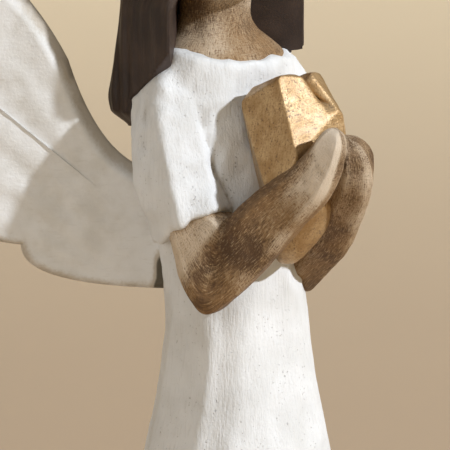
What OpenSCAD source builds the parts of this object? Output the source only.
// Angel figurine: painted cold-cast resin castings, pinned and glued together.
// The figure faces -Y, stands on +Z = 0, and its right hand is at -X. Millimetres.

/* [Heights] */
// Thickness of the felt under the base
felt_t = 1.2; // [0.8:0.1:2]
// Height of the skirt, from the hem to the waist
skirt_h = 120; // [90:1:150]
// Height from the hip down to the waist line above it
hip_drop = 24; // [18:1:30]
// Height of the bodice, from the waist to the neckline
bodice_h = 40; // [34:0.5:48]
// Height of the bare neck, from the neckline to the chin
neck_h = 10.4; // [9:0.2:14]
// Height of the head, from the chin to the crown
head_h = 28; // [23:0.5:34]

/* [Dress] */
// Width of the hem
hem_w = 50; // [42:1:60]
// Depth of the hem
hem_d = 45; // [38:1:54]
// Width at the hip
hip_w = 31; // [26:0.2:37]
// Depth at the hip
hip_d = 27.6; // [24:0.2:34]
// Width at the waist
waist_w = 23.4; // [19.6:0.2:28]
// Depth at the waist
waist_d = 19.8; // [17:0.2:23.8]
// Width at the chest
chest_w = 22; // [19:0.2:25]
// Depth at the chest
chest_d = 18; // [15:0.2:21.6]
// Width across the shoulders
shoulder_w = 28; // [23.6:0.2:31]
// Depth of the shoulders
shoulder_d = 15.4; // [13:0.2:18]
// Width of the neckline
neckline_w = 19.4; // [16.6:0.2:21]
// Depth of the neckline
neckline_d = 15; // [13:0.2:17]
// How far the upper body stands behind the middle of the waist
lean = 3; // [1:0.2:5]
// Forward tilt of the neckline
neckline_tilt = 6; // [0:1:12]
// Least wall round the hollow in the skirt
skirt_wall = 5; // [3:0.5:7]
// Height of the hollow in the skirt
hollow_h = 88; // [60:1:100]

/* [Arms] */
// Thickness of the upper arm in its sleeve, side to side
sleeve_w = 10.4; // [8.6:0.2:12.6]
// Thickness of the upper arm in its sleeve, front to back
sleeve_d = 13; // [10.8:0.2:15.6]
// Thickness of the forearm at the elbow
forearm_t = 9.4; // [7.8:0.2:11.4]
// Thickness of the wrist
wrist_t = 7.8; // [6.4:0.2:9.4]
// Length of the hand past the wrist
hand_l = 8; // [6:0.2:10]
// How far the elbow stands out from the side of the waist
elbow_out = 0.4; // [0:0.1:2]
// How far the elbow stands in front of the middle of the waist
elbow_forward = 5.6; // [4:0.2:7]
// How far the middle of the elbow stands above the waist
elbow_rise = 5.4; // [4:0.1:8]
// Length of bare upper arm between the elbow and the sleeve's mouth
cuff_rise = 10.2; // [8:0.1:12]

/* [Heart] */
// Width of the heart
heart_w = 16.8; // [14:0.2:20.2]
// Height of the heart
heart_h = 31; // [26:0.5:37]
// Thickness of the heart before its back is cut flat
heart_t = 15; // [12.6:0.2:18]
// How much of the heart's back is cut away to make its flat seat
heart_flat = 2.6; // [1.5:0.1:4]
// Height of the heart's lower tip above the waist
heart_rise = 8; // [6:0.5:10]

/* [Head and hair] */
// Width of the head
head_w = 19; // [16:0.2:22.8]
// Depth of the head
head_d = 22.5; // [19:0.2:27]
// Thickness of the neck
neck_t = 11; // [9.2:0.2:13.2]
// Thickness of the hair over the crown
crown_t = 2.6; // [2:0.1:4]
// Width of the hair beside the jaw
hair_w = 30.4; // [26:0.2:36]
// Thickness of the fall of hair down the back
fall_t = 8.2; // [6.8:0.2:9.8]
// Length of the fall of hair below the neckline
fall_l = 14; // [10:0.5:20]
// Height of the right lock's lower end above the neckline
right_lock = 4; // [0:0.2:6]
// Height of the left lock's lower end above the neckline
left_lock = -1.4; // [-1.4:0.2:6]
// How far the side locks' front edge stands in front of the neck's middle
lock_forward = 5.8; // [4:0.2:8]

/* [Wings] */
// Reach of a wing from the back to its tip
wing_reach = 58; // [48:1:70]
// Height of a wing, from its lowest edge to its crest
wing_h = 62; // [52:1:75]
// Height of a wing's root
wing_root_h = 20; // [17:0.5:24]
// Height of a wing's lowest edge above the waist
wing_rise = 2; // [1:0.5:5]
// Thickness of a wing at its root
wing_root_t = 4.4; // [3.8:0.1:5.3]
// Thickness of a wing at its tip
wing_tip_t = 2; // [1.6:0.1:3]
// Angle between a wing and straight back
wing_sweep = 48; // [38:1:58]
// How far a wing's tip bows out of its flat plane
wing_bow = 3; // [0:0.5:6]
// Depth of the mortise in the dress that takes a wing's root
mortise_d = 3; // [2:0.2:4]

/* [Pins and fits] */
// Radius of the locating pins
pin_r = 1; // [0.8:0.05:1.2]
// Radius of the thicker pin in the neck
neck_pin_r = 1.6; // [1.3:0.05:2]
// Glue gap around a pin and between two castings
glue_gap = 0.05; // [0.03:0.01:0.1]
// How deep a pin goes into each casting
pin_grip = 5; // [4:0.2:6]
// Thickness of the plug that closes the skirt
plug_t = 3; // [2:0.5:5]
// Set-back of the felt from the hem
felt_inset = 2; // [1:0.5:4]

/* [Hidden] */

ivory = "#ece9e2";
skin = "#7a5a3a";
chocolate = "#3a2724";
gold = "#c39a4b";
steel = "silver";
far = 400; // larger than the figure in every direction

waist_z = felt_t + skirt_h;
hip_z = waist_z - hip_drop;
neckline_z = waist_z + bodice_h;
shoulder_z = neckline_z - 4.6;
chest_z = neckline_z - 18;
chin_z = neckline_z + neck_h;
crown_z = chin_z + head_h;

// ---------- curves and solids ----------
function signed_power(v, p) = sign(v) * pow(abs(v), p);

// Rows start with their height. A column's value at height z lies on one smooth curve through the rows.
function rise(t, i, c) = let (a = max(i - 1, 0), b = min(i + 1, len(t) - 1))
    (t[b][c] - t[a][c]) / (t[b][0] - t[a][0]);
function row_below(t, z, i = 0) = (i >= len(t) - 2 || z <= t[i + 1][0]) ? i : row_below(t, z, i + 1);
function smooth_value(t, z, c) = let (
    i = row_below(t, z),
    h = t[i + 1][0] - t[i][0],
    s = min(max((z - t[i][0]) / h, 0), 1),
    s2 = s * s,
    s3 = s2 * s)
    (2 * s3 - 3 * s2 + 1) * t[i][c] + (s3 - 2 * s2 + s) * h * rise(t, i, c)
    + (3 * s2 - 2 * s3) * t[i + 1][c] + (s3 - s2) * h * rise(t, i + 1, c);

// A level ring: width w, depth d, middle at y, with the squareness of its corners (2 is an ellipse).
function level_ring(z, w, d, y, squareness, sides) = [for (i = [0:sides - 1])
    let (a = 360 * (i + 0.5) / sides, p = 2 / squareness)
    [w / 2 * signed_power(cos(a), p), y + d / 2 * signed_power(sin(a), p), z]];

// The closed solid through rings of as many points each, capped at both ends.
module loft(rings) {
    sides = len(rings[0]);
    last = len(rings) - 1;
    middle = function (r) [for (c = [0:2]) [for (p = r) p[c]] * [for (p = r) 1] / sides];
    points = concat([for (r = rings) each r], [middle(rings[0]), middle(rings[last])]);
    foot = sides * (last + 1);
    faces = concat(
        [for (i = [0:sides - 1]) let (j = (i + 1) % sides) [foot, i, j]],
        [for (i = [0:sides - 1]) let (j = (i + 1) % sides) [foot + 1, last * sides + j, last * sides + i]],
        [for (k = [0:last - 1], i = [0:sides - 1]) let (j = (i + 1) % sides)
            each [[k * sides + i, (k + 1) * sides + i, (k + 1) * sides + j],
                  [k * sides + i, (k + 1) * sides + j, k * sides + j]]]);
    polyhedron(points = points, faces = faces);
}

// A loft through level rings at the given heights, from rows of [height, width, depth, middle].
module level_loft(rows, heights, squareness, sides, grow = 0) {
    loft([for (z = heights) level_ring(z, smooth_value(rows, z, 1) + 2 * grow,
        smooth_value(rows, z, 2) + 2 * grow, smooth_value(rows, z, 3), squareness, sides)]);
}

// A plump solid over a flat outline: [across, up] points round a middle, thick in the middle and
// falling along a curve to a thin rim. thickness(point) is the full thickness, bow(point) the offset.
module plump(outline, middle, thickness, bow, rim) {
    shares = [1, 0.97, 0.9, 0.76, 0.56, 0.3];
    n = len(outline);
    m = len(shares);
    dome = function (s) sqrt(1 - pow(s, 3));
    at = function (s, i, side) let (p = middle + (outline[i] - middle) * s, t = thickness(p))
        [p[0], bow(p) + side * (rim * t + (1 - rim) * t * dome(s)) / 2, p[1]];
    layer = function (side) concat([for (s = shares, i = [0:n - 1]) at(s, i, side)],
        [[middle[0], bow(middle) + side * thickness(middle) / 2, middle[1]]]);
    back = n * m + 1;
    side_faces = function (first, flip) [
        for (k = [0:m - 1], i = [0:n - 1]) let (
            j = (i + 1) % n,
            a = first + k * n + i,
            b = first + k * n + j,
            c = k == m - 1 ? first + n * m : first + (k + 1) * n + j,
            d = first + (k + 1) * n + i,
            quad = k == m - 1 ? [[a, b, c]] : [[a, b, c], [a, c, d]])
            each [for (f = quad) flip ? [f[2], f[1], f[0]] : f]];
    band = [for (i = [0:n - 1]) let (j = (i + 1) % n) each [[i, back + i, back + j], [i, back + j, j]]];
    polyhedron(points = concat(layer(-1), layer(1)),
        faces = concat(side_faces(0, true), side_faces(back, false), band));
}

// A straight pin of this radius from a point, both ways along a direction.
module pin_at(point, direction, r, reach_in, reach_out) {
    yaw = atan2(direction[1], direction[0]);
    pitch = acos(direction[2] / norm(direction));
    translate(point) rotate([0, pitch, yaw]) translate([0, 0, -reach_in])
        cylinder(r = r, h = reach_in + reach_out, $fn = 32);
}

// ---------- dress: skirt, bodice and sleeves, one casting ----------
dress_rows = [
    [felt_t, hem_w, hem_d, 0],
    [felt_t + (hip_z - felt_t) * 0.28, hem_w - 3.6, hem_d - 3.6, 0],
    [felt_t + (hip_z - felt_t) * 0.66, (hem_w + hip_w) / 2, (hem_d + hip_d) / 2 - 0.6, 0],
    [hip_z, hip_w, hip_d, 0],
    [(hip_z + waist_z) / 2, (hip_w + waist_w) / 2 - 1, (hip_d + waist_d) / 2 - 1, 0],
    [waist_z, waist_w, waist_d, 0],
    [chest_z, chest_w, chest_d, lean / 3],
    [shoulder_z, shoulder_w, shoulder_d, lean],
    [neckline_z, neckline_w, neckline_d, lean + 0.6],
    [neckline_z + 4, neckline_w - 8, neckline_d - 5, lean + 1.4]];
dress_heights = concat([for (i = [0:11]) felt_t + (hip_z - felt_t) * i / 12],
    [for (i = [0:9]) hip_z + (chest_z - hip_z) * i / 10], [for (i = [0:10]) chest_z + (neckline_z + 3 - chest_z) * i / 10]);
function dress_w(z) = smooth_value(dress_rows, z, 1);
function dress_d(z) = smooth_value(dress_rows, z, 2);
function dress_y(z) = smooth_value(dress_rows, z, 3);

module dress_blank(grow = 0) {
    level_loft(dress_rows, dress_heights, 2.2, 44, grow);
}

// Everything above the neckline, a plane that leans forward with the shoulders.
module above_neckline() {
    translate([0, lean, neckline_z]) rotate([neckline_tilt, 0, 0]) translate([-far / 2, -far / 2, 0]) cube(far);
}

// The middle of the shoulder, the elbow, the wrist and the finger tips of an arm. side is -1 for the right.
heart_seat_y = dress_y(chest_z) - chest_d / 2 + 0.5;
heart_mid_y = heart_seat_y - heart_t / 2 + heart_flat;
heart_tip_z = waist_z + heart_rise;
function shoulder_point(side) = [side * (shoulder_w / 2 - 2.1), lean + 1.2, neckline_z - 8];
function elbow_point(side) = [side * (waist_w / 2 + elbow_out), -elbow_forward, waist_z + elbow_rise];
function tips_point(side) = [side * (wrist_t / 2 - 1.6), heart_mid_y - heart_t / 2 - wrist_t / 2 + 1.4,
    heart_tip_z + heart_h * 0.68];
function unit(v) = v / norm(v);
function upper_way(side) = unit(elbow_point(side) - shoulder_point(side));
function lower_way(side) = unit(tips_point(side) - elbow_point(side));
function wrist_point(side) = tips_point(side) - hand_l * lower_way(side);
function cuff_point(side) = elbow_point(side) - cuff_rise * upper_way(side);

// A flat slice across the upper arm: the sleeve's outline at a point on it.
module arm_slice(point, way, w, d) {
    yaw = atan2(way[1], way[0]);
    translate(point) rotate([0, 180 - acos(-way[2]) , yaw]) rotate([0, 0, -yaw]) scale([w, d, 1])
        cylinder(r = 0.5, h = 0.4, center = true, $fn = 22);
}

module sleeve(side) {
    way = upper_way(side);
    hull() {
        translate(shoulder_point(side)) scale([sleeve_w, sleeve_d, sleeve_w] * 0.94) sphere(r = 0.5, $fn = 22);
        arm_slice(cuff_point(side) - 12 * way, way, sleeve_w, sleeve_d);
        arm_slice(cuff_point(side) - (0.2 + glue_gap) * way, way, sleeve_w - 0.8, sleeve_d - 0.6);
    }
}

wing_way = function (side) [side * sin(wing_sweep), cos(wing_sweep), 0];
wing_root = function (side) let (z = waist_z + wing_rise + wing_root_h / 2, way = wing_way(side),
    surface = norm([dress_w(z) / 2 * way[0], dress_d(z) / 2 * way[1]]))
    [0, dress_y(z), z] + (surface - 1.2) * way;

// Carries a wing from its own plane (across, out of plane, up) to its place behind the dress.
module at_wing(side) {
    translate(wing_root(side)) rotate([0, 0, side > 0 ? 90 - wing_sweep : 90 + wing_sweep]) children();
}

module mortise(side) {
    at_wing(side) translate([-mortise_d - glue_gap, -wing_root_t / 2 - glue_gap, -wing_root_h / 2 - glue_gap])
        cube([far / 10, wing_root_t + 2 * glue_gap, wing_root_h + 2 * glue_gap]);
}

// The flat seat on the chest, cut in a shield a little larger than the heart's back.
module heart_seat() {
    translate([0, heart_seat_y, heart_tip_z]) rotate([90, 0, 0]) linear_extrude(height = far / 4)
        polygon([[-2.5, -0.5], [2.5, -0.5], [heart_w / 2, heart_h * 0.4], [heart_w / 2, heart_h],
            [-heart_w / 2, heart_h], [-heart_w / 2, heart_h * 0.4]]);
}

core_r = min(hem_w, hem_d) / 2 - skirt_wall;
core_top_r = min(waist_w, waist_d) / 2 - skirt_wall;

module dress() {
    color(ivory) difference() {
        union() {
            dress_blank();
            for (side = [-1, 1]) sleeve(side);
        }
        above_neckline();
        translate([0, 0, felt_t - 1]) cylinder(r1 = core_r, r2 = core_top_r, h = hollow_h + 1, $fn = 64);
        translate([0, 0, felt_t - 1]) cylinder(r = core_r + 1.5, h = plug_t + 1, $fn = 64);
        heart_seat();
        for (side = [-1, 1]) {
            mortise(side);
            wing_pin_bores(side);
            elbow_pin_bore(side);
        }
        neck_pin_bore();
        heart_pin_bore();
    }
}

// ---------- head and neck, one casting ----------
// A domed top: rows from the height where it starts to its top, as far round a quarter turn as each step.
dome_steps = [0, 12, 25, 38, 51, 63, 74, 83, 88];
function dome_rows(from, to, w, d, y, y_rise) = [for (a = dome_steps) if (a > 0)
    [from + (to - from) * sin(a), w * cos(a), d * cos(a), y + y_rise * sin(a)]];
brow_z = chin_z + head_h * 0.56;
neck_y = lean + 2.8;
face_y = neck_y - 2;
head_rows = [
    [neckline_z - 3, neckline_w - 1.2, neckline_d - 1, lean + 0.6],
    [neckline_z, neckline_w - 1.6, neckline_d - 1.4, lean + 0.6],
    [neckline_z + neck_h * 0.3, neck_t + 3.4, neck_t + 1.2, lean + 2],
    [neckline_z + neck_h * 0.62, neck_t + 0.2, neck_t, neck_y],
    [chin_z - 1.6, neck_t, neck_t, neck_y],
    [chin_z + head_h * 0.04, head_w * 0.66, head_d * 0.8, face_y],
    [chin_z + head_h * 0.26, head_w * 0.88, head_d * 0.93, face_y],
    [brow_z, head_w, head_d, face_y],
    each dome_rows(brow_z, crown_z, head_w, head_d, face_y, 0)];
head_heights = concat([for (i = [0:7]) neckline_z - 2 + (neck_h + 0.4) * i / 8],
    [for (i = [0:9]) chin_z - 1.6 + (brow_z - chin_z + 1.6) * i / 10],
    [for (a = dome_steps) brow_z + (crown_z - brow_z) * sin(a)]);

module head_blank(grow = 0) {
    level_loft(head_rows, head_heights, 2.15, 28, grow);
}

module nose() {
    hull() {
        translate([0, face_y - head_d / 2 + 0.7, chin_z + head_h * 0.52]) sphere(r = 0.9, $fn = 14);
        translate([0, face_y - head_d / 2 - 0.6, chin_z + head_h * 0.34]) scale([1.5, 1, 1]) sphere(r = 1, $fn = 14);
    }
}

module head() {
    color(skin) difference() {
        union() {
            head_blank();
            nose();
        }
        translate([0, 0, glue_gap]) below_neckline();
        neck_pin_bore();
        hair_pin_bore();
    }
}

module below_neckline() {
    translate([0, lean, neckline_z]) rotate([neckline_tilt, 0, 0]) translate([-far / 2, -far / 2, -far]) cube(far);
}

// ---------- hair: crown, sides and the fall down the back, one casting ----------
hair_front_y = neck_y - lock_forward;
back_y = lean + max(shoulder_d, neckline_d + 1.2) / 2 + glue_gap;
fall_z = neckline_z - fall_l;
// The side locks' front edges stop at these heights and sweep back behind the shoulders.
right_lock_z = neckline_z + right_lock;
left_lock_z = neckline_z + left_lock;
hair_top_z = crown_z + crown_t;
// Rows of [height, width, front, back].
hair_rows = [
    [fall_z, hair_w * 0.5, back_y, back_y + fall_t * 0.8],
    [fall_z + 1, hair_w * 0.76, back_y - 6, back_y + fall_t * 0.94],
    [fall_z + 3, hair_w * 0.96, hair_front_y, back_y + fall_t],
    [fall_z + 6, hair_w * 1.01, hair_front_y, back_y + fall_t],
    [neckline_z + 4, hair_w, hair_front_y, back_y + fall_t * 0.8],
    [chin_z, hair_w * 0.98, hair_front_y - 0.6, back_y + fall_t * 0.72],
    [chin_z + head_h * 0.3, head_w + 8, face_y - head_d * 0.3, face_y + head_d / 2 + 2.2],
    [brow_z, head_w + 5.4, face_y - head_d * 0.44, face_y + head_d / 2 + 2.2],
    each [for (r = dome_rows(brow_z, hair_top_z, head_w + 5.4, head_d * 0.94 + 2.2, face_y + head_d * 0.03 + 1.1, 0))
        [r[0], r[1], r[3] - r[2] / 2, r[3] + r[2] / 2]]];
hair_heights = concat([0, 1, 3, 6] + [for (i = [0:3]) fall_z],
    [for (i = [1:12]) fall_z + 6 + (brow_z - fall_z - 6) * i / 12],
    [for (a = dome_steps) if (a > 0) brow_z + (hair_top_z - brow_z) * sin(a)]);
// One half of a section of the hair, across and from front to back, in flat facets.
hair_half = [[0.5, 0], [0.93, 0], [1, 0.3], [0.95, 0.56], [0.82, 0.8], [0.52, 0.96], [0.18, 1]];

function hair_ring(z) = let (w = smooth_value(hair_rows, z, 1) / 2, front = smooth_value(hair_rows, z, 2),
    deep = smooth_value(hair_rows, z, 3) - front, n = len(hair_half))
    [for (i = [0:2 * n - 1]) let (p = hair_half[i < n ? i : 2 * n - 1 - i], side = i < n ? 1 : -1)
        [side * w * p[0], front + deep * p[1], z]];

// Everything below a lock that ends at this height, from x to x + far.
module under_lock(z, x) {
    rotate([90, 0, 90]) translate([0, 0, x]) linear_extrude(height = far)
        polygon([[-far, z], [hair_front_y, z], [back_y, shoulder_z], [back_y, 0], [-far, 0]]);
}

module hair() {
    color(chocolate) difference() {
        loft([for (z = hair_heights) hair_ring(z)]);
        head_blank(grow = glue_gap);
        dress_blank(grow = glue_gap);
        // clear of the shoulders and the back of the dress
        under_lock(right_lock_z, -far);
        under_lock(left_lock_z, 0);
        // the open front, beside the neck and round the face
        translate([-neck_t / 2 - 2.2, -far + neck_y, left_lock_z - 1]) cube([neck_t + 4.4, far, chin_z - left_lock_z + 2]);
        translate([0, face_y, chin_z + head_h * 0.36]) rotate([90, 0, 0])
            scale([head_w * 0.86, head_h * 0.98, 1]) cylinder(r = 0.5, h = far / 4, $fn = 40);
        hair_pin_bore();
    }
}

// ---------- forearms with their hands ----------
module forearm(side, grow = 0) {
    elbow = elbow_point(side);
    way = upper_way(side);
    hull() {
        arm_slice(cuff_point(side) + (0.2 + grow) * way, way, forearm_t - 0.6, forearm_t + 0.4);
        translate(elbow) sphere(r = forearm_t / 2 + grow, $fn = 22);
    }
    hull() {
        translate(elbow) sphere(r = forearm_t / 2 + grow, $fn = 22);
        translate(wrist_point(side)) sphere(r = wrist_t / 2 + grow, $fn = 22);
    }
    hull() {
        translate(wrist_point(side)) sphere(r = wrist_t / 2 + grow, $fn = 22);
        translate(tips_point(side)) sphere(r = wrist_t / 2 - 0.8 + grow, $fn = 22);
    }
}

// The waist's flat facing an elbow: everything on the waist's side of a plane that just clears the dress.
module waist_side(side) {
    way = unit([side * elbow_point(1)[0] / pow(waist_w, 2), elbow_point(1)[1] / pow(waist_d, 2), 0]);
    z = waist_z + cuff_rise * 0.9;
    reach = max([for (h = [waist_z - forearm_t / 2, waist_z, z])
        norm([dress_w(h) / 2 * way[0], dress_d(h) / 2 * way[1]]) * 1.02 + dress_y(h) * way[1]]);
    rotate([0, 0, atan2(way[1], way[0])]) translate([reach + glue_gap - far, -far / 2, waist_z - far / 2])
        cube(far);
}

module right_forearm() {
    color(skin) forearm_casting(-1);
}

module left_forearm() {
    color(skin) forearm_casting(1);
}

module forearm_casting(side) {
    difference() {
        forearm(side);
        // the other hand's half
        translate([side > 0 ? glue_gap - far : -glue_gap, -far / 2, 0]) cube(far);
        intersection() {
            waist_side(side);
            translate([-far / 2, heart_mid_y, 0]) cube(far);
        }
        elbow_pin_bore(side);
    }
}

// ---------- heart ----------
function heart_outline(n) = [for (i = [0:n - 1]) let (a = 360 * (i + 0.5) / n)
    [heart_w / 2 * pow(sin(a), 3),
     heart_h * (13 * cos(a) - 5 * cos(2 * a) - 2 * cos(3 * a) - cos(4 * a) + 17) / 28.9]];

module heart_blank() {
    translate([0, heart_mid_y, heart_tip_z])
        plump(heart_outline(40), [0, heart_h * 0.6], function (p) heart_t, function (p) 0, 0.12);
}

module heart() {
    color(gold) difference() {
        heart_blank();
        translate([-far / 2, heart_seat_y - glue_gap, 0]) cube(far);
        for (side = [-1, 1]) forearm(side, glue_gap);
        heart_pin_bore();
    }
}

// ---------- wings ----------
// Half an outline goes along the feathered edge from the root to the tip, and half back over the crest.
function arc(a, b, c, n) = [for (i = [0:n - 1]) let (t = i / n)
    (1 - t) * (1 - t) * a + 2 * t * (1 - t) * b + t * t * c];
wing_low = -wing_root_h / 2;
feather_ends = [[0.6, wing_low], [wing_reach * 0.434, wing_low + wing_h * 0.118],
    [wing_reach * 0.7, wing_low + wing_h * 0.29], [wing_reach * 0.9, wing_low + wing_h * 0.48],
    [wing_reach, wing_low + wing_h * 0.72]];
feather_bends = [[wing_reach * 0.44, wing_low + 0.4], [wing_reach * 0.67, wing_low + wing_h * 0.14],
    [wing_reach * 0.9, wing_low + wing_h * 0.32], [wing_reach * 1.02, wing_low + wing_h * 0.56]];
wing_crest = [wing_reach * 0.78, wing_low + wing_h];
wing_bend = [wing_reach * 0.3, wing_low + wing_h * 0.6];
wing_top = [0.6, wing_root_h / 2 - 1];
wing_outline = concat(
    [for (k = [0:3]) each arc(feather_ends[k], feather_bends[k], feather_ends[k + 1], 9)],
    arc(feather_ends[4], [wing_reach * 0.98, wing_low + wing_h * 0.98], wing_crest, 5),
    arc(wing_crest, [wing_reach * 0.46, wing_low + wing_h * 0.9], wing_bend, 9),
    arc(wing_bend, [wing_reach * 0.2, wing_top[1] - 0.8], wing_top, 9),
    arc(wing_top, [0.6, 0], feather_ends[0], 3));

module wing(side) {
    difference() {
        at_wing(side) union() {
            translate([-mortise_d, -wing_root_t / 2, -wing_root_h / 2]) cube([mortise_d + 1.6, wing_root_t, wing_root_h]);
            plump(wing_outline, [wing_reach * 0.44, wing_low + wing_h * 0.5],
                function (p) wing_root_t + (wing_tip_t - wing_root_t) * p[0] / wing_reach,
                function (p) -side * wing_bow * pow(max(p[0], 0) / wing_reach, 2), 0.5);
        }
        wing_pin_bores(side);
    }
}

module right_wing() {
    color(ivory) wing(-1);
}

module left_wing() {
    color(ivory) wing(1);
}

// ---------- base ----------
module base_plug() {
    color(ivory) translate([0, 0, felt_t]) cylinder(r = core_r + 1.5 - glue_gap, h = plug_t - glue_gap, $fn = 64);
}

module felt_pad() {
    color("saddlebrown") linear_extrude(height = felt_t)
        polygon([for (p = level_ring(0, hem_w - 2 * felt_inset, hem_d - 2 * felt_inset, 0, 2.2, 44)) [p[0], p[1]]]);
}

// ---------- pins and their bores ----------
neck_pin_point = [0, lean + 1.8, neckline_z];
hair_pin_point = [0, face_y + head_d / 2 - 0.6, chin_z + head_h * 0.55];
heart_pin_point = [0, heart_seat_y, heart_tip_z + heart_h * 0.56];

module neck_pin(gap = 0) {
    color(steel) pin_at(neck_pin_point, [0, 0, 1], neck_pin_r + gap, 2 * pin_grip + gap, neck_h + gap);
}

module neck_pin_bore() {
    neck_pin(glue_gap);
}

module hair_pin(gap = 0) {
    color(steel) pin_at(hair_pin_point, [0, 1, 0], pin_r + gap, pin_grip + gap, crown_t * 0.5 + gap);
}

module hair_pin_bore() {
    hair_pin(glue_gap);
}

module heart_pin(gap = 0) {
    color(steel) pin_at(heart_pin_point, [0, 1, 0], pin_r + gap, pin_grip + gap, pin_grip + gap);
}

module heart_pin_bore() {
    heart_pin(glue_gap);
}

module elbow_pin(side, gap = 0) {
    color(steel) pin_at(cuff_point(side), upper_way(side), pin_r + gap, pin_grip + gap, pin_grip + gap);
}

module elbow_pin_bore(side) {
    elbow_pin(side, glue_gap);
}

module wing_pins(side, gap = 0) {
    for (end = [-1, 1])
        color(steel) pin_at(wing_root(side) - mortise_d * wing_way(side) + [0, 0, end * wing_root_h * 0.3],
            wing_way(side), pin_r + gap, pin_grip + gap, mortise_d + pin_grip + gap);
}

module wing_pin_bores(side) {
    wing_pins(side, glue_gap);
}

dress();
head();
hair();
right_forearm();
left_forearm();
heart();
right_wing();
left_wing();
base_plug();
felt_pad();
neck_pin();
hair_pin();
heart_pin();
elbow_pin(-1);  // right_elbow_pin
elbow_pin(1);  // left_elbow_pin
wing_pins(-1);  // right_wing_pins
wing_pins(1);  // left_wing_pins
